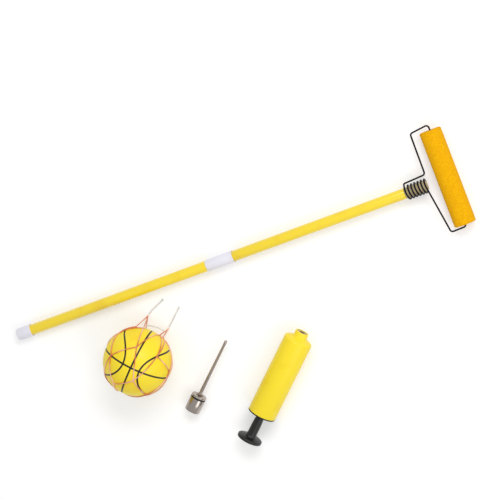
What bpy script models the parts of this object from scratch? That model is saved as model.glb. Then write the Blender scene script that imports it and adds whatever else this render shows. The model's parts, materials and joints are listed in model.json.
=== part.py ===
"""Tetherball set: a two-piece pole with a foam roller on a spring-wire frame, a small ball in a
string net, a hand pump and an inflating needle, all lying on a flat surface.

Units are metres, +Z is up, and the origin is on that surface, under the middle of the set.
Each item is turned about its own local Z axis and is placed by the empty that it hangs from.
"""

import math

import bmesh
import bpy
from mathutils import Matrix, Vector

# --- Clearances and fineness ---------------------------------------------------------------
GAP = 0.0003  # between faces that touch on the real object
ROUND = 24  # sides of the large turned pieces
ROUND_SMALL = 16  # sides of the small turned pieces

# --- Where the items lie (x, y), and which way each one points, in degrees from +X -----------
POLE_END_AT = (-0.3455, -0.0948)
POLE_HEADING = 21.8
BALL_AT = (-0.1463, -0.1179)
NEEDLE_AT = (-0.0739, -0.1957)
NEEDLE_HEADING = 64.0
PUMP_MOUTH_AT = (0.0967, -0.0668)
PUMP_HEADING = 64.1

# --- Pole: distances run along it from the closed end of its end cap -------------------------
TUBE_RADIUS = 0.0080
TUBE_WALL = 0.0008
CAP_RADIUS = 0.0094
CAP_LENGTH = 0.0236
CAP_FLOOR = 0.0020
SLEEVE_RADIUS = 0.0089
SLEEVE_FROM = 0.3186
SLEEVE_TO = 0.3621
SLEEVE_RIB = 0.0026
TUBE_TIP = 0.6384
PLUG_SHANK = 0.0300

# --- Wire frame: a is along the pole from COIL_AT, b is square to it and level ---------------
COIL_AT = 0.6424
WIRE_RADIUS = 0.0013
COIL_RADIUS = 0.0099
COIL_PITCH = 0.0051
COIL_FIRST_NEAR = -0.0010  # a of the first strand that passes over the top
COIL_TURNS = 6
COIL_STEPS = 12  # points to a turn
BEND_RADIUS = 0.0040
ARM_LONG_B = 0.0811
ARM_SHORT_B = -0.0742
ARM_LONG_CORNER = (0.0331, 0.0777)
ARM_LONG_KNEE = (0.0323, 0.0157)
ARM_SHORT_CORNER = (0.0384, -0.0750)
COIL_LEAD = 1.38  # how far out the long arm turns into the coil, in coil radii

# --- Roller ----------------------------------------------------------------------------------
ROLLER_RADIUS = 0.0164
ROLLER_LENGTH = 0.1438
ROLLER_A = 0.0621
ROLLER_MIDDLE_B = 0.0010
CORE_RADIUS = 0.0060
CORE_WALL = 0.0016
BUSH_SHANK = 0.0140
BUSH_FLANGE = 0.0013
STUB_DEPTH = 0.0120

# --- Ball and its net ------------------------------------------------------------------------
BALL_RADIUS = 0.0508
BALL_WALL = 0.0022
VALVE_RADIUS = 0.0036
VALVE_DIRECTION = (-0.75, -0.45, -0.48)
NET_CORD = 0.00080
NET_STEP = 11.0  # degrees between points along a cord
KNOT_RADIUS = 0.00125
NET_RADIUS = BALL_RADIUS + GAP + KNOT_RADIUS
NET_AXIS = (0.400, 0.881, -0.252)  # from the ball's centre to the middle of the net's mouth
NET_FRONT = (0.250, 0.160, 0.955)  # the side of the net that azimuth 0 faces
STRING_RADIUS = 0.0009
STRING_STEP = 0.0045
# Gathered loops of the net and the tails of its drawstring, from the point under the ball.
APEX_LEFT = (0.0016, 0.0598, 0.0016)
APEX_RIGHT = (0.0334, 0.0421, 0.0016)
TAIL_LEFT = ((0.0032, 0.0620, 0.0014), (0.0088, 0.0695, 0.0013), (0.0250, 0.0854, 0.0013))
TAIL_RIGHT = ((0.0346, 0.0445, 0.0014), (0.0418, 0.0586, 0.0013), (0.0499, 0.0748, 0.0013))
BRIDGE = ((0.0095, 0.0530, 0.0365), (0.0208, 0.0482, 0.0245), (0.0310, 0.0420, 0.0170))

# --- Needle: heights run from the open end of its base towards the tip ------------------------
BASE_RADIUS = 0.0117
BASE_HEIGHT = 0.0265
GROOVE_FROM = 0.0215
GROOVE_TO = 0.0238
NEEDLE_LENGTH = 0.1210
STEM_RADIUS_BASE = 0.0026
STEM_RADIUS_TIP = 0.0020
STEM_FOOT = 0.0120

# --- Pump: heights run from its mouth, so the handle is at the negative end -------------------
PUMP_RADIUS = 0.0214
PUMP_WALL = 0.0018
PUMP_NECK_RADIUS = 0.0101
PUMP_NECK = 0.0090
PUMP_CHAMBER_TOP = -0.0170
PUMP_BARREL_END = -0.1386
PUMP_RIM = 0.0018
INSERT_RADIUS = 0.0078
INSERT_BORE = 0.0039
ROD_RADIUS = 0.0035
PISTON_FRONT = -0.0185
PISTON_LENGTH = 0.0100
HANDLE_FROM = -0.1412
DISC_FROM = -0.1780
DISC_TO = -0.1845
DISC_RADIUS = 0.0190

DECIMALS_IN_PLACE = 5


# --- Scene and helpers -----------------------------------------------------------------------
def clear_scene():
    for obj in list(bpy.data.objects):
        bpy.data.objects.remove(obj, do_unlink=True)


def new_collection(name):
    made = bpy.data.collections.new(name)
    bpy.context.scene.collection.children.link(made)
    return made


def new_material(name, colour, roughness, metallic=0.0):
    made = bpy.data.materials.new(name)
    made.use_nodes = True
    shader = made.node_tree.nodes["Principled BSDF"]
    shader.inputs["Base Color"].default_value = (*colour, 1.0)
    shader.inputs["Roughness"].default_value = roughness
    shader.inputs["Metallic"].default_value = metallic
    made.diffuse_color = (*colour, 1.0)
    return made


def add_part(name, data, material, parent=None):
    made = bpy.data.objects.new(name, data)
    PARTS.objects.link(made)
    data.materials.append(material)
    made.parent = parent
    return made


def add_empty(name, location, rotation, parent=None):
    """An axis that pieces hang from: their local Z is the axis."""
    made = bpy.data.objects.new(name, None)
    made.empty_display_size = 0.02
    made.location = location
    made.rotation_euler = rotation
    made.parent = parent
    PARTS.objects.link(made)
    return made


def turned(name, outline, material, parent, sides=ROUND_SMALL):
    """A turned solid about local Z. The outline is (radius, height) points that run down the
    outer side and back up the inner one. It closes on itself, or on the axis at radius 0."""
    mesh = bpy.data.meshes.new(name)
    points = [(radius, 0.0, height) for radius, height in outline]
    edges = [(i, i + 1) for i in range(len(points) - 1)]
    if outline[0][0] > 0.0 or outline[-1][0] > 0.0:
        edges.append((len(points) - 1, 0))
    mesh.from_pydata(points, edges, [])
    made = add_part(name, mesh, material, parent)
    screw = made.modifiers.new("Turn", "SCREW")
    screw.axis = "Z"
    screw.steps = sides
    screw.render_steps = sides
    screw.use_merge_vertices = True
    screw.merge_threshold = 0.00001
    screw.use_smooth_shade = True
    return made


def arc(centre, radius, start, end, steps):
    """Points of a circular arc in (radius, height), with angles in degrees from the +radius way."""
    turn = [math.radians(start + (end - start) * i / steps) for i in range(steps + 1)]
    return [(centre[0] + radius * math.cos(t), centre[1] + radius * math.sin(t)) for t in turn]


def ring(outer, inner, top, bottom, chamfer=0.0004):
    """Outline of a plain tube with its outer edges broken."""
    return [
        (outer - chamfer, top),
        (outer, top - chamfer),
        (outer, bottom + chamfer),
        (outer - chamfer, bottom),
        (inner, bottom),
        (inner, top),
    ]


def poly_tube(name, points, radius, material, parent=None):
    """A round wire or cord along the points, with closed ends."""
    curve = bpy.data.curves.new(name, "CURVE")
    curve.dimensions = "3D"
    curve.bevel_depth = radius
    curve.bevel_resolution = 2
    curve.use_fill_caps = True
    spline = curve.splines.new("POLY")
    spline.points.add(len(points) - 1)
    for spline_point, point in zip(spline.points, points):
        spline_point.co = (*point, 1.0)
    return add_part(name, curve, material, parent)


def bent(corners, radius, steps=5):
    """The corners as one path whose inner corners are bent to the given radius."""
    path = [Vector(corners[0])]
    for before, corner, after in zip(corners, corners[1:], corners[2:]):
        corner = Vector(corner)
        to_before = (Vector(before) - corner).normalized()
        to_after = (Vector(after) - corner).normalized()
        half = to_before.angle(to_after) / 2.0
        back = radius / math.tan(half)
        middle = corner + (to_before + to_after).normalized() * radius / math.sin(half)
        first = corner + to_before * back - middle
        last = corner + to_after * back - middle
        for i in range(steps + 1):
            path.append(middle + first.normalized().slerp(last.normalized(), i / steps) * radius)
    path.append(Vector(corners[-1]))
    return path


def smooth_route(route, spacing):
    """Points of a smooth curve through the route, about one spacing apart."""
    ends = [route[0] * 2 - route[1], *route, route[-1] * 2 - route[-2]]
    made = []
    for a, b, c, d in zip(ends, ends[1:], ends[2:], ends[3:]):
        steps = max(1, round((c - b).length / spacing))
        for i in range(steps):
            t = i / steps
            made.append(
                0.5 * (2 * b + (c - a) * t + (2 * a - 5 * b + 4 * c - d) * t**2)
                + 0.5 * (3 * b - a - 3 * c + d) * t**3
            )
    return [*made, route[-1]]


# --- Pole ------------------------------------------------------------------------------------
def make_pole():
    """The pole rests on its end cap and on the roller, which is thicker, so it rises a little."""
    roller_at = COIL_AT + ROLLER_A
    rise = math.asin((ROLLER_RADIUS - CAP_RADIUS) / roller_at)
    axis = add_empty(
        "pole_axis",
        (*POLE_END_AT, CAP_RADIUS * math.cos(rise)),
        (0.0, math.pi / 2 - rise, math.radians(POLE_HEADING)),
    )
    bore = TUBE_RADIUS - TUBE_WALL
    socket = TUBE_RADIUS + GAP
    rib_from = (SLEEVE_FROM + SLEEVE_TO - SLEEVE_RIB) / 2
    rib_to = rib_from + SLEEVE_RIB

    cap = [(0.0, CAP_FLOOR), (socket, CAP_FLOOR), (socket, CAP_LENGTH)]
    cap += [(CAP_RADIUS - 0.0003, CAP_LENGTH), (CAP_RADIUS, CAP_LENGTH - 0.0003)]
    cap += arc((CAP_RADIUS - 0.0012, 0.0012), 0.0012, 0, -90, 3) + [(0.0, 0.0)]
    turned("end_cap", cap, WHITE, axis, ROUND)

    lower = ring(TUBE_RADIUS, bore, rib_from - GAP, CAP_FLOOR + GAP)
    turned("lower_tube", lower, YELLOW_METAL, axis, ROUND)
    upper = ring(TUBE_RADIUS, bore, TUBE_TIP, rib_to + GAP)
    turned("upper_tube", upper, YELLOW_METAL, axis, ROUND)

    sleeve = [(SLEEVE_RADIUS - 0.0003, SLEEVE_TO), (SLEEVE_RADIUS, SLEEVE_TO - 0.0003)]
    sleeve += [(SLEEVE_RADIUS, SLEEVE_FROM + 0.0003), (SLEEVE_RADIUS - 0.0003, SLEEVE_FROM)]
    sleeve += [(socket, SLEEVE_FROM), (socket, rib_from), (bore, rib_from), (bore, rib_to)]
    sleeve += [(socket, rib_to), (socket, SLEEVE_TO)]
    turned("coupling_sleeve", sleeve, WHITE, axis, ROUND)

    nose = COIL_RADIUS * math.cos(math.pi / COIL_STEPS) - WIRE_RADIUS - GAP
    nose_to = COIL_AT + COIL_FIRST_NEAR + COIL_TURNS * COIL_PITCH
    nose_from = TUBE_TIP + GAP
    plug = [(0.0, nose_to), *arc((nose - 0.0012, nose_to - 0.0012), 0.0012, 90, 0, 3)]
    plug += [(nose, nose_from), (bore - GAP, nose_from), (bore - GAP, TUBE_TIP - PLUG_SHANK)]
    plug += [(bore - 0.0012, TUBE_TIP - PLUG_SHANK - 0.0009)]
    plug += [(0.0, TUBE_TIP - PLUG_SHANK - 0.0009)]
    turned("tip_plug", plug, IVORY, axis, ROUND)
    return axis


# --- Wire frame and roller -------------------------------------------------------------------
def wire_path():
    """One wire: from inside the roller's far end, round the coil, to inside its near end.
    Points are (x, b, COIL_AT + a), and the pole's local -X is up."""

    def place(a, b, x=0.0):
        return (x, b, COIL_AT + a)

    half = ROLLER_LENGTH / 2 - STUB_DEPTH
    near = COIL_RADIUS * COIL_LEAD
    lead_in = math.acos(COIL_RADIUS / near)
    first = COIL_FIRST_NEAR - COIL_PITCH / 4
    last = math.tau * COIL_TURNS + math.pi / 2
    steps = COIL_TURNS * COIL_STEPS
    coil = []
    for i in range(steps + 1):
        turn = lead_in + (last - lead_in) * i / steps
        across = (COIL_RADIUS * math.cos(turn), -COIL_RADIUS * math.sin(turn))
        coil.append(place(first + COIL_PITCH * turn / math.tau, *across))
    long_arm = [
        place(ROLLER_A, ROLLER_MIDDLE_B + half),
        place(ROLLER_A, ARM_LONG_B),
        place(*ARM_LONG_CORNER),
        place(*ARM_LONG_KNEE),
        place(first + 0.0004, near),
        coil[0],
    ]
    short_arm = [
        coil[-1],
        place(*ARM_SHORT_CORNER),
        place(ROLLER_A, ARM_SHORT_B),
        place(ROLLER_A, ROLLER_MIDDLE_B - half),
    ]
    arms = [bent(long_arm[:5], BEND_RADIUS)[:-1], bent(short_arm, BEND_RADIUS)[1:]]
    turn_in = bent([arms[0][-1], long_arm[4], coil[0]], BEND_RADIUS / 2)[1:-1]
    return [*arms[0], *turn_in, *[Vector(point) for point in coil], *arms[1]]


def make_frame(pole_axis):
    poly_tube("wire_frame", wire_path(), WIRE_RADIUS, SPRING_STEEL, pole_axis)
    axis = add_empty(
        "roller_axis",
        (0.0, ROLLER_MIDDLE_B, COIL_AT + ROLLER_A),
        (-math.pi / 2, 0.0, 0.0),
        pole_axis,
    )
    top = ROLLER_LENGTH / 2
    edge = 0.0024
    foam_bore = CORE_RADIUS + GAP
    foam = arc((ROLLER_RADIUS - edge, top - edge), edge, 90, 0, 4)
    foam += arc((ROLLER_RADIUS - edge, edge - top), edge, 0, -90, 4)
    foam += [(foam_bore, -top), (foam_bore, top)]
    turned("roller_foam", foam, FOAM, axis, ROUND)
    core_end = top - BUSH_FLANGE - GAP
    core = ring(CORE_RADIUS, CORE_RADIUS - CORE_WALL, core_end, -core_end)
    turned("roller_core", core, WHITE, axis)
    shank = CORE_RADIUS - CORE_WALL - GAP
    wire_bore = WIRE_RADIUS + GAP
    for name, way in (("roller_bush_far", 0.0), ("roller_bush_near", math.pi)):
        outline = [(CORE_RADIUS - 0.0004, top), (CORE_RADIUS, top - 0.0004)]
        outline += [(CORE_RADIUS, top - BUSH_FLANGE), (shank, top - BUSH_FLANGE)]
        outline += [(shank, top - BUSH_SHANK), (wire_bore, top - BUSH_SHANK), (wire_bore, top)]
        bush = turned(name, outline, BLACK, axis)
        bush.rotation_euler = (way, 0.0, 0.0)


# --- Ball, valve and net -----------------------------------------------------------------------
def make_ball():
    centre = Vector((*BALL_AT, BALL_RADIUS))
    facing = Vector(VALVE_DIRECTION).to_track_quat("Z", "Y").to_euler()
    axis = add_empty("ball_centre", centre, facing)
    hole = VALVE_RADIUS + GAP
    inner = BALL_RADIUS - BALL_WALL
    outer_from = math.degrees(math.acos(hole / BALL_RADIUS))
    inner_from = math.degrees(math.acos(hole / inner))
    outside = arc((0, 0), BALL_RADIUS, outer_from, -90, 13)[:-1] + [(0.0, -BALL_RADIUS)]
    inside = [(0.0, -inner)] + arc((0, 0), inner, -90, inner_from, 9)[1:]
    # The outline starts and ends on the axis, opposite the hole.
    turned("ball_shell", inside + outside, YELLOW_RUBBER, axis, 28)
    top = math.sqrt(BALL_RADIUS**2 - hole**2)
    under = inner - 0.0016
    valve = [(VALVE_RADIUS, top), (VALVE_RADIUS, under), (0.0062, under), (0.0062, under - 0.0030)]
    valve += [(0.0030, under - 0.0070), (0.0010, under - 0.0070), (0.0010, top)]
    turned("ball_valve", valve, BLACK_RUBBER, axis)
    return centre


def under_ball(offset):
    return Vector((*BALL_AT, 0.0)) + Vector(offset)


def net_rows():
    """Knots of the net by rows, each as (degrees from the mouth, azimuth)."""
    rim = [(19, -54), (14, 82), (22, 118), (26, 155), (28, 205), (29, 268)]
    upper = [(66, -12), (65, 29), (56, 84), (66, 138), (66, 206), (62, 285)]
    middle = [(119, 10), (80, 72), (104, 112), (107, 172), (104, 246), (98, 312)]
    lower = [(134, 66), (146, 108), (146, 146), (144, 208), (146, 270), (146, 327)]
    return rim, upper, middle, lower


def net_frame():
    axis = Vector(NET_AXIS).normalized()
    front = Vector(NET_FRONT)
    front = (front - axis * front.dot(axis)).normalized()
    return axis, front, axis.cross(front)


def on_net(knot, frame):
    axis, front, side = frame
    down, round_it = math.radians(knot[0]), math.radians(knot[1])
    across = front * math.cos(round_it) + side * math.sin(round_it)
    return axis * math.cos(down) + across * math.sin(down)


def net_cords():
    """Pairs of neighbouring knots, as unit vectors from the ball's centre, and the cords that
    leave the rim for the two gathered loops."""
    frame = net_frame()
    rim, upper, middle, lower = [[on_net(k, frame) for k in row] for row in net_rows()]
    gather = on_net((164, 190), frame)
    cords = []
    for i in range(len(rim)):
        after = (i + 1) % len(rim)
        cords += [(rim[i], upper[i]), (rim[after], upper[i])]
        cords += [(upper[i], middle[i]), (upper[after], middle[i])]
        cords += [(middle[i], lower[i]), (middle[after], lower[i])]
        cords.append((lower[i], gather))
    left = under_ball(APEX_LEFT)
    right = under_ball(APEX_RIGHT)
    gathered = [(rim[0], left), (rim[5], left), (rim[4], left)]
    gathered += [(rim[1], right), (rim[2], right), (rim[3], right)]
    return cords, gathered


def cord_mesh(runs, radius):
    """One mesh that holds a closed tube for each run of points."""
    curve = bpy.data.curves.new("net_cords", "CURVE")
    curve.dimensions = "3D"
    curve.bevel_depth = radius
    curve.bevel_resolution = 0
    curve.use_fill_caps = True
    for points in runs:
        spline = curve.splines.new("POLY")
        spline.points.add(len(points) - 1)
        for spline_point, point in zip(spline.points, points):
            spline_point.co = (*point, 1.0)
    source = bpy.data.objects.new("net_cords", curve)
    PARTS.objects.link(source)
    graph = bpy.context.evaluated_depsgraph_get()
    mesh = bpy.data.meshes.new_from_object(source.evaluated_get(graph))
    bpy.data.objects.remove(source)
    bm = bmesh.new()
    bm.from_mesh(mesh)
    bmesh.ops.remove_doubles(bm, verts=bm.verts, dist=0.000001)
    bmesh.ops.recalc_face_normals(bm, faces=bm.faces)
    bm.to_mesh(mesh)
    bm.free()
    return mesh


def knot_mesh(points, radius):
    """One mesh that holds a small ball at each point."""
    bm = bmesh.new()
    for point in points:
        bmesh.ops.create_icosphere(
            bm, subdivisions=1, radius=radius, matrix=Matrix.Translation(point)
        )
    mesh = bpy.data.meshes.new("net_knots")
    bm.to_mesh(mesh)
    bm.free()
    return mesh


def make_net(centre):
    """Cords along great circles a little off the ball, joined to a knot wherever they meet."""
    cords, gathered = net_cords()
    runs = []
    knots = {}
    for start, end in cords:
        steps = max(3, round(math.degrees(start.angle(end)) / NET_STEP))
        runs.append([centre + start.slerp(end, i / steps) * NET_RADIUS for i in range(steps + 1)])
    for start, end in gathered:
        runs.append([centre + start * NET_RADIUS, end])
    for run in runs:
        for point in (run[0], run[-1]):
            knots[tuple(round(value, DECIMALS_IN_PLACE) for value in point)] = point
    balls = bpy.data.objects.new("net_knots", knot_mesh(knots.values(), KNOT_RADIUS))
    CUTTERS.objects.link(balls)
    balls.hide_render = True
    balls.display_type = "WIRE"
    net = add_part("ball_net", cord_mesh(runs, NET_CORD), NET_CORD_RED)
    union = net.modifiers.new("Knots", "BOOLEAN")
    union.operation = "UNION"
    union.solver = "EXACT"
    union.use_self = True
    union.object = balls
    return net


def make_strings():
    """The drawstring: a run between the two gathered loops, and a free tail past each."""
    for name, route in (
        ("drawstring", BRIDGE),
        ("string_left", TAIL_LEFT),
        ("string_right", TAIL_RIGHT),
    ):
        points = smooth_route([under_ball(point) for point in route], STRING_STEP)
        poly_tube(name, points, STRING_RADIUS, WHITE_CORD)


# --- Needle ------------------------------------------------------------------------------------
def make_needle():
    axis = add_empty(
        "needle_axis",
        (*NEEDLE_AT, BASE_RADIUS),
        (0.0, math.pi / 2, math.radians(NEEDLE_HEADING)),
    )
    groove = BASE_RADIUS - 0.0016
    stem_bore = STEM_RADIUS_BASE + GAP
    base = [(BASE_RADIUS - 0.0006, BASE_HEIGHT), (BASE_RADIUS, BASE_HEIGHT - 0.0006)]
    base += [(BASE_RADIUS, GROOVE_TO), (groove, GROOVE_TO), (groove, GROOVE_FROM)]
    base += [(BASE_RADIUS, GROOVE_FROM), (BASE_RADIUS, 0.0006), (BASE_RADIUS - 0.0006, 0.0)]
    base += [(0.0012, 0.0), (0.0012, STEM_FOOT - GAP), (stem_bore, STEM_FOOT - GAP)]
    base += [(stem_bore, BASE_HEIGHT - 0.0020), (0.0052, BASE_HEIGHT - 0.0020)]
    base += [(0.0056, BASE_HEIGHT)]
    turned("needle_base", base, CHROME, axis, ROUND)

    seal = ring(BASE_RADIUS - 0.0003, groove + GAP, GROOVE_TO - GAP, GROOVE_FROM + GAP)
    turned("needle_seal", seal, BLACK_RUBBER, axis, ROUND)

    tip = NEEDLE_LENGTH
    bulb = STEM_RADIUS_TIP + 0.0003
    stem = [(0.0, tip), *arc((0.0, tip - bulb), bulb, 80, 0, 4)]
    stem += [(bulb, tip - 0.0060), (STEM_RADIUS_TIP, tip - 0.0090)]
    stem += [(STEM_RADIUS_BASE, BASE_HEIGHT + 0.0150), (STEM_RADIUS_BASE, STEM_FOOT)]
    stem += [(0.0010, STEM_FOOT), (0.0010, tip - 0.0080), (0.0, tip - 0.0080)]
    tube = turned("needle_tube", stem, CHROME, axis, 16)
    port = turned(
        "needle_port_cutter", [(0.0, 0.0040), (0.0007, 0.0040), (0.0007, 0.0), (0.0, 0.0)],
        CHROME, axis, 12,
    )
    port.location = (0.0, 0.0, tip - 0.0120)
    port.rotation_euler = (0.0, math.pi / 2, 0.0)
    PARTS.objects.unlink(port)
    CUTTERS.objects.link(port)
    port.hide_render = True
    port.display_type = "WIRE"
    drill = tube.modifiers.new("Air port", "BOOLEAN")
    drill.operation = "DIFFERENCE"
    drill.solver = "EXACT"
    drill.object = port


# --- Pump --------------------------------------------------------------------------------------
def make_pump():
    axis = add_empty(
        "pump_axis",
        (*PUMP_MOUTH_AT, PUMP_RADIUS),
        (0.0, math.pi / 2, math.radians(PUMP_HEADING)),
    )
    make_pump_body(axis)
    make_pump_plunger(axis)


def make_pump_body(axis):
    inner = PUMP_RADIUS - PUMP_WALL
    neck_bore = INSERT_RADIUS + GAP
    edge = 0.0032
    shoulder = -0.0122  # where the sloping shoulder meets its rounded edge
    barrel = [(PUMP_NECK_RADIUS - 0.0006, 0.0), (PUMP_NECK_RADIUS, -0.0006)]
    barrel += [(PUMP_NECK_RADIUS, -PUMP_NECK)]
    barrel += arc((PUMP_RADIUS - edge, shoulder - edge), edge, 75, 0, 4)
    barrel += [(PUMP_RADIUS, PUMP_BARREL_END), (inner, PUMP_BARREL_END)]
    barrel += [(inner, PUMP_CHAMBER_TOP), (0.0025, PUMP_CHAMBER_TOP + 0.0025), (0.0025, -0.0112)]
    barrel += [(neck_bore, -0.0112), (neck_bore, 0.0)]
    turned("pump_barrel", barrel, YELLOW_PLASTIC, axis, ROUND)

    insert = ring(INSERT_RADIUS, INSERT_BORE, -0.0004, -0.0092)
    turned("nozzle_insert", insert, BRASS, axis)
    valve = [(0.0, -0.0095), (0.0060, -0.0095), (0.0060, -0.0104), (0.0014, -0.0104)]
    valve += [(0.0011, -0.0139), (0.0, -0.0139)]
    turned("outlet_valve", valve, BLACK_RUBBER, axis)

    face = PUMP_BARREL_END - GAP
    guide = ROD_RADIUS + 0.0004
    cap = [(inner - GAP, face + 0.0066), (inner - GAP, face), (PUMP_RADIUS, face)]
    cap += [(PUMP_RADIUS, face - PUMP_RIM + 0.0004), (PUMP_RADIUS - 0.0004, face - PUMP_RIM)]
    cap += [(guide, face - PUMP_RIM), (guide, face + 0.0010), (0.0165, face + 0.0010)]
    cap += [(0.0165, face + 0.0066)]
    turned("pump_end_cap", cap, BLACK, axis, ROUND)


def make_pump_plunger(axis):
    rear = PISTON_FRONT - PISTON_LENGTH
    side = PUMP_RADIUS - PUMP_WALL - 0.0010
    hub = ROD_RADIUS + GAP
    groove = (PISTON_FRONT - 0.0030, PISTON_FRONT - 0.0070)
    recess = PISTON_FRONT - 0.0030
    piston = [(side, PISTON_FRONT), (side, groove[0]), (0.0155, groove[0]), (0.0155, groove[1])]
    piston += [(side, groove[1]), (side, rear), (hub, rear), (hub, recess), (0.0066, recess)]
    piston += [(0.0066, PISTON_FRONT)]
    turned("piston", piston, WHITE, axis, ROUND)
    seal = ring(side + 0.0006, 0.0155 + GAP, groove[0] - GAP, groove[1] + GAP, 0.0008)
    turned("piston_seal", seal, BLACK_RUBBER, axis, ROUND)

    nut_sides = 6
    nut_bore = hub / math.cos(math.pi / nut_sides)
    nut = ring(0.0061, nut_bore, PISTON_FRONT - 0.0003, recess + GAP, 0.0003)
    turned("piston_nut", nut, BRASS, axis, nut_sides)
    socket = DISC_FROM + 0.0060
    rod = [(0.0, PISTON_FRONT - 0.0002), (ROD_RADIUS, PISTON_FRONT - 0.0002)]
    rod += [(ROD_RADIUS, socket), (0.0, socket)]
    turned("piston_rod", rod, SPRING_STEEL, axis)

    handle = [(0.0043, HANDLE_FROM), (0.0052, HANDLE_FROM - 0.0030)]
    handle += [(0.0066, HANDLE_FROM - 0.0080), (0.0071, HANDLE_FROM - 0.0150)]
    handle += [(0.0072, DISC_FROM + 0.0060), (0.0090, DISC_FROM)]
    handle += [(DISC_RADIUS - 0.0012, DISC_FROM - 0.0012), (DISC_RADIUS, DISC_FROM - 0.0024)]
    handle += [(DISC_RADIUS, DISC_TO + 0.0015), (DISC_RADIUS - 0.0015, DISC_TO), (0.0, DISC_TO)]
    handle += [(0.0, socket - GAP), (hub, socket - GAP), (hub, HANDLE_FROM)]
    # The blind socket ends on the axis, so the outline starts and ends there.
    turned("pump_handle", handle[11:] + handle[:11], BLACK, axis, ROUND)


# --- Build ---------------------------------------------------------------------------------------
clear_scene()
PARTS = new_collection("tetherball_set")
CUTTERS = new_collection("cutters")

YELLOW_METAL = new_material("yellow_painted_metal", (0.85, 0.62, 0.03), 0.30)
YELLOW_RUBBER = new_material("yellow_rubber", (0.90, 0.70, 0.02), 0.45)
YELLOW_PLASTIC = new_material("yellow_plastic", (0.88, 0.72, 0.05), 0.50)
WHITE = new_material("white_plastic", (0.80, 0.79, 0.83), 0.40)
IVORY = new_material("ivory_plastic", (0.72, 0.66, 0.50), 0.45)
BLACK = new_material("black_plastic", (0.02, 0.02, 0.02), 0.40)
BLACK_RUBBER = new_material("black_rubber", (0.02, 0.02, 0.02), 0.75)
SPRING_STEEL = new_material("dark_spring_steel", (0.04, 0.04, 0.05), 0.35, 1.0)
CHROME = new_material("nickel_plate", (0.70, 0.68, 0.64), 0.15, 1.0)
BRASS = new_material("brass", (0.62, 0.48, 0.25), 0.30, 1.0)
FOAM = new_material("amber_foam", (0.80, 0.40, 0.01), 0.90)
NET_CORD_RED = new_material("coral_net_cord", (0.75, 0.32, 0.20), 0.80)
WHITE_CORD = new_material("white_cord", (0.85, 0.85, 0.85), 0.80)

pole = make_pole()
make_frame(pole)
ball_centre = make_ball()
make_net(ball_centre)
make_strings()
make_needle()
make_pump()
bpy.context.view_layer.update()
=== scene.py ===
# %% [markdown]
# # A small tetherball set
# This lesson dresses a set of real, measured pieces: a two-part pole with a foam roller on a
# sprung wire, a ball in a cord net, a hand pump and an inflating needle. The pieces were built at
# their true size beforehand. Here they are loaded, and each visible one gets a finer shape and a
# finish. We work in metres, and the surface that everything lies on is z = 0.

# %% Load the measured pieces
import json
import math

import bmesh
import bpy
from mathutils import Matrix, Vector, noise


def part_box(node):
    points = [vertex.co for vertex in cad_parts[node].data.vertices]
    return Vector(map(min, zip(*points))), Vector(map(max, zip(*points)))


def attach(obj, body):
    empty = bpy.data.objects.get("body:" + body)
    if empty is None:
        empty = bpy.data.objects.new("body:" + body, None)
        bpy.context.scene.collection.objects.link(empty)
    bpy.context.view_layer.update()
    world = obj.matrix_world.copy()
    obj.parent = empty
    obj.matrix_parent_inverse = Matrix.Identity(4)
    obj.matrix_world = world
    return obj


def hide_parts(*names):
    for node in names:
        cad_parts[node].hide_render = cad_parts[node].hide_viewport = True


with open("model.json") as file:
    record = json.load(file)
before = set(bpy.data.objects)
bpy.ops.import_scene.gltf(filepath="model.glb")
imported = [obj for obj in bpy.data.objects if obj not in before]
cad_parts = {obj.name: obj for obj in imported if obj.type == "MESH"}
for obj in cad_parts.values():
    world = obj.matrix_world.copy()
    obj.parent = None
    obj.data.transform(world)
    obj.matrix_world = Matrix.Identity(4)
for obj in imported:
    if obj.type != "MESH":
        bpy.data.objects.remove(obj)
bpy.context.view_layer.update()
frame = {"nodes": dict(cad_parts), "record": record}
bpy.ops.object.select_all(action="DESELECT")

# %% [markdown]
# ## The camera
# A long lens far away keeps the pole's sides almost parallel. It looks nearly straight down,
# leaning a little so that the right and far ends of things come towards us.

# %% Camera
AIM = Vector((0.0173, 0.0509, 0.0200))
TOWARDS_CAMERA = Vector((0.250, 0.160, 0.955)).normalized()
LENS = 200.0
SENSOR = 36.0
VIEW_WIDTH = 0.730

camera_data = bpy.data.cameras.new("camera")
camera = bpy.data.objects.new("camera", camera_data)
bpy.context.scene.collection.objects.link(camera)
camera_data.lens = LENS
camera_data.sensor_width = SENSOR
camera_data.clip_end = 40.0
camera_right = Vector((0, 1, 0)).cross(TOWARDS_CAMERA).normalized()
camera_up = TOWARDS_CAMERA.cross(camera_right)
turn = Matrix((camera_right, camera_up, TOWARDS_CAMERA)).transposed().to_4x4()
camera.matrix_world = Matrix.Translation(AIM + TOWARDS_CAMERA * VIEW_WIDTH * LENS / SENSOR) @ turn
bpy.context.scene.camera = camera
print("camera at", [round(value, 3) for value in camera.location])

# %% [markdown]
# ## Where each item lies
# The measured model names a flat face on each item, with a point and a direction. From those we
# get a frame for each item: its Z runs along the item, and its X points straight down. We model
# every turned piece upright on the origin, where it is easy to think about, and then move its
# mesh into that frame. The object itself stays at the origin, unturned.

# %% Item frames


def face_of(name):
    """The point on a named flat face, and the direction that the face looks."""
    for mount in frame["record"]["mounts"]:
        if mount["name"] == name:
            return Vector(mount["pos_m"]), Vector(mount["axis"])
    raise ValueError(name)


def item_frame(origin, along):
    side = Vector((0, 0, 1)).cross(along).normalized()
    down = side.cross(along)
    return Matrix.Translation(origin) @ Matrix((down, side, along)).transposed().to_4x4()


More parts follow.
